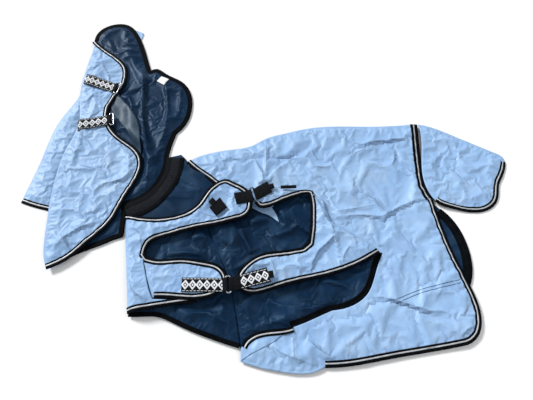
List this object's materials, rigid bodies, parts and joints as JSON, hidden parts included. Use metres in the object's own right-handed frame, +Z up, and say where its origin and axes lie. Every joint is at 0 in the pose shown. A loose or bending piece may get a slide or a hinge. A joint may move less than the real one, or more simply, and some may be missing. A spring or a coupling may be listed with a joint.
{
  "type": "horse turnout rug",
  "caption": "Light blue horse turnout rug with navy lining, tail flap, strapped chest front and detachable neck cover, lying folded on the floor.",
  "frame": {"origin": "centre of the footprint, on the floor the rug lies on", "axes": "+X towards the tail flap, +Y from the chest flaps towards the spine, +Z up from the floor"},
  "size_m": [1.7966, 1.4602, 0.0522],
  "materials": {
    "shell_cloth": "satin coated nylon",
    "lining_cloth": "smooth nylon",
    "binding_tape": "woven tape",
    "reflective_tape": "reflective",
    "webbing": "woven webbing",
    "touch_tape": "touch tape",
    "label_cloth": "printed satin",
    "metal": "polished wire"
  },
  "bodies": {
    "rug": {"far_side_shell": "shell_cloth", "far_side_lining": "lining_cloth", "far_side_binding": "binding_tape", "withers_loop_strip": "touch_tape", "near_side_shell": "shell_cloth", "near_side_lining": "lining_cloth", "near_side_binding": "binding_tape", "near_side_reflective_tape": "reflective_tape", "tail_seam_tape": "binding_tape", "front_back_shell": "shell_cloth", "front_lining_left": "lining_cloth", "front_lining_right": "lining_cloth", "front_back_binding": "binding_tape", "left_shoulder_shell": "shell_cloth", "left_shoulder_lining": "lining_cloth", "left_shoulder_binding": "binding_tape", "left_chest_flap_shell": "shell_cloth", "left_chest_flap_lining": "lining_cloth", "left_chest_flap_binding": "binding_tape", "right_shoulder_shell": "shell_cloth", "right_shoulder_lining": "lining_cloth", "right_shoulder_binding": "binding_tape", "front_reflective_tape": "reflective_tape", "corner_flap_shell": "shell_cloth", "corner_flap_binding": "binding_tape", "lower_label_strap": "webbing", "lower_strap_base": "webbing", "upper_label_strap": "webbing", "upper_strap_base": "webbing", "spare_tab_base": "touch_tape", "front_loop_tab": "touch_tape", "surcingle_webbing": "webbing", "surcingle_hooks": "metal", "surcingle_slides": "metal", "surcingle_slot_plates": "metal"},
    "tail_flap": {"tail_flap_shell": "shell_cloth", "tail_flap_lining": "lining_cloth", "tail_flap_binding": "binding_tape", "tail_flap_reflective_tape": "reflective_tape"},
    "lower_ring": {"lower_ring": "metal"},
    "lower_strap": {"lower_velcro_strap": "webbing"},
    "upper_ring": {"upper_ring": "metal"},
    "upper_strap": {"upper_velcro_strap": "webbing"},
    "spare_tab": {"spare_tab": "touch_tape"},
    "hood": {"hood_far_shell": "shell_cloth", "hood_far_lining": "lining_cloth", "hood_far_binding": "binding_tape", "hood_hook_strip": "touch_tape", "care_label": "label_cloth", "crest_shell": "shell_cloth", "crest_lining": "lining_cloth", "crest_binding": "binding_tape"},
    "hood_near": {"hood_near_shell": "shell_cloth", "hood_near_lining": "lining_cloth", "hood_near_binding": "binding_tape", "hood_near_reflective_tape": "reflective_tape", "hood_label_straps": "webbing"},
    "hood_upper_ring": {"hood_upper_ring": "metal"},
    "hood_lower_ring": {"hood_lower_ring": "metal"}
  },
  "joints": [
    {"name": "tail_flap_hinge", "type": "hinge", "parent": "rug", "child": "tail_flap", "pos_m": [0.58023, 0.04502, 0.0225], "axis": [-0.0481, -0.9988, 0], "range_deg": [0, 150]},
    {"name": "lower_ring_pivot", "type": "hinge", "parent": "rug", "child": "lower_ring", "pos_m": [-0.13773, -0.46466, 0.04859], "axis": [0.1045, -0.9945, 0], "range_deg": [0, 45]},
    {"name": "lower_strap_peel", "type": "hinge", "parent": "lower_ring", "child": "lower_strap", "pos_m": [-0.12481, -0.4633, 0.04859], "axis": [0.1045, -0.9945, 0], "range_deg": [0, 120]},
    {"name": "upper_ring_pivot", "type": "hinge", "parent": "rug", "child": "upper_ring", "pos_m": [-0.06049, -0.14488, 0.04859], "axis": [0.2924, -0.9563, 0], "range_deg": [0, 45]},
    {"name": "upper_strap_peel", "type": "hinge", "parent": "upper_ring", "child": "upper_strap", "pos_m": [-0.04805, -0.14108, 0.04859], "axis": [0.2924, -0.9563, 0], "range_deg": [0, 120]},
    {"name": "spare_tab_peel", "type": "hinge", "parent": "rug", "child": "spare_tab", "pos_m": [-0.16477, -0.20748, 0.0456], "axis": [0.7463, 0.6656, 0], "range_deg": [0, 150]},
    {"name": "hood_lift_off", "type": "slide", "parent": "rug", "child": "hood", "axis": [0, 0, 1], "range_m": [0, 0.3]},
    {"name": "hood_near_side_fold", "type": "hinge", "parent": "hood", "child": "hood_near", "pos_m": [-0.79227, 0.09502, 0.024], "axis": [0, -1, 0], "range_deg": [0, 150]},
    {"name": "hood_upper_ring_pivot", "type": "hinge", "parent": "hood_near", "child": "hood_upper_ring", "pos_m": [-0.62363, 0.35237, 0.02759], "axis": [-0.2079, -0.9781, 0], "range_deg": [0, 150]},
    {"name": "hood_lower_ring_pivot", "type": "hinge", "parent": "hood_near", "child": "hood_lower_ring", "pos_m": [-0.62367, 0.19589, 0.02759], "axis": [0.1736, -0.9848, 0], "range_deg": [0, 150]}
  ]
}
